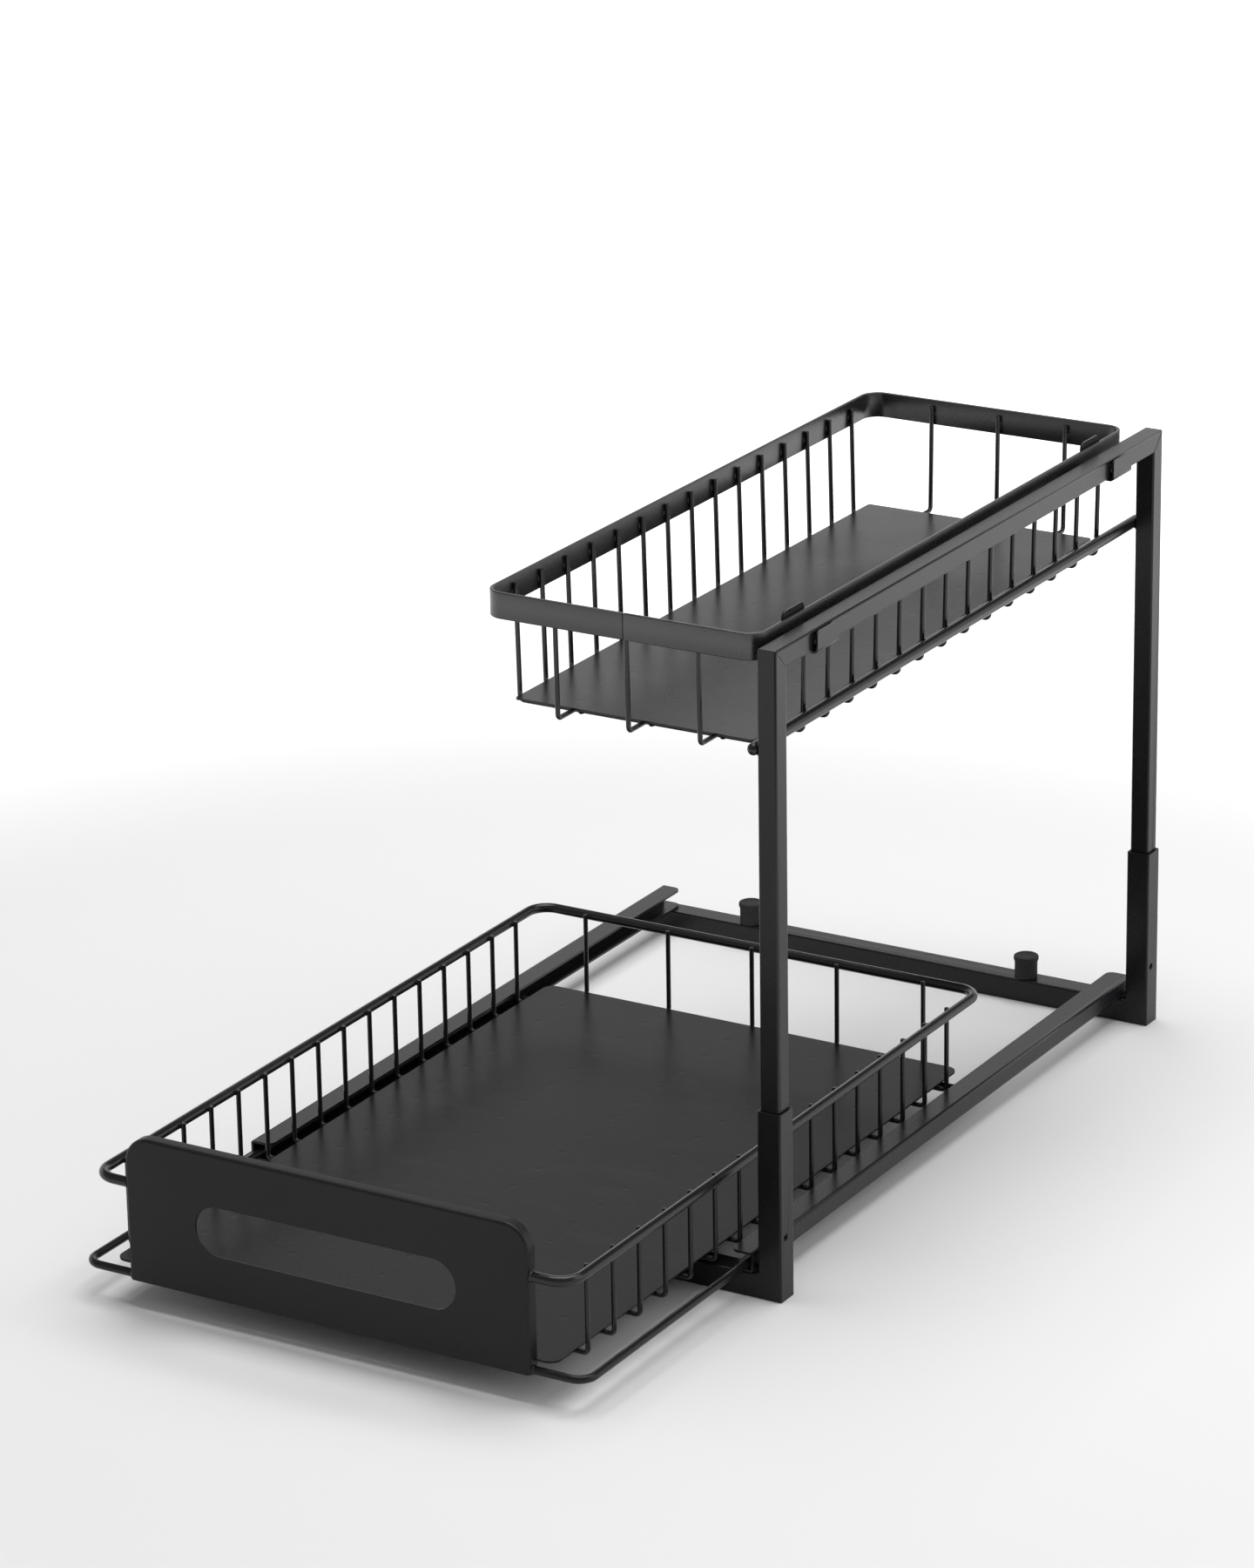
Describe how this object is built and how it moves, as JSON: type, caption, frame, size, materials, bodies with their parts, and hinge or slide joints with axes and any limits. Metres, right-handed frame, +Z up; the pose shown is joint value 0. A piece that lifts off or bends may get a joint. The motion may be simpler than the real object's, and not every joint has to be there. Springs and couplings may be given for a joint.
{
  "type": "under sink organizer",
  "caption": "Metal under sink organizer: a wire drawer that slides in a low welded base, with a narrow lift-off wire basket on an upright side frame.",
  "frame": {"origin": "on the floor, at the middle of the whole object's footprint with the drawer standing out as in the picture", "axes": "+X to the right as seen from the front, +Y from the drawer front to the rear, +Z up"},
  "size_m": [0.3042, 0.5514, 0.3262],
  "materials": {
    "frame_coat": "fine satin black powder coat on square tube and rail",
    "wire_coat": "satin black powder coat on round wire",
    "panel_coat": "fine matt black powder coat on the drawer front",
    "tray_coat": "fine matt black powder coat on sheet",
    "band_coat": "satin black powder coat on flat strip",
    "black_plastic": "moulded, matt",
    "stop_rubber": "matt black rubber",
    "screw_steel": "blackened steel"
  },
  "bodies": {
    "frame": {"front_cross_tube": "frame_coat", "rear_cross_tube": "frame_coat", "front_post": "frame_coat", "rear_post": "frame_coat", "tube_end_caps": "black_plastic", "left_rail": "frame_coat", "right_rail": "frame_coat", "front_leg": "frame_coat", "top_rail": "frame_coat", "rear_leg": "frame_coat", "leg_plugs": "black_plastic", "lock_screws": "screw_steel", "support_bar": "wire_coat", "front_hook": "frame_coat", "rear_hook": "frame_coat", "rear_stops": "stop_rubber", "front_stops": "stop_rubber"},
    "drawer": {"drawer_front": "panel_coat", "drawer_rim": "wire_coat", "drawer_cross_wires": "wire_coat", "drawer_length_wires": "wire_coat", "drawer_rear_wires": "wire_coat", "drawer_tray": "tray_coat", "slide_loop": "wire_coat"},
    "basket": {"basket_band": "band_coat", "basket_cross_wires": "wire_coat", "basket_length_wires": "wire_coat", "basket_tray": "tray_coat"}
  },
  "joints": [
    {"name": "drawer_slide", "type": "slide", "parent": "frame", "child": "drawer", "axis": [0, -1, 0], "range_m": [-0.1418, 0.22145]},
    {"name": "basket_lift", "type": "slide", "parent": "frame", "child": "basket", "axis": [0, 0, 1], "range_m": [0, 0.07]}
  ]
}
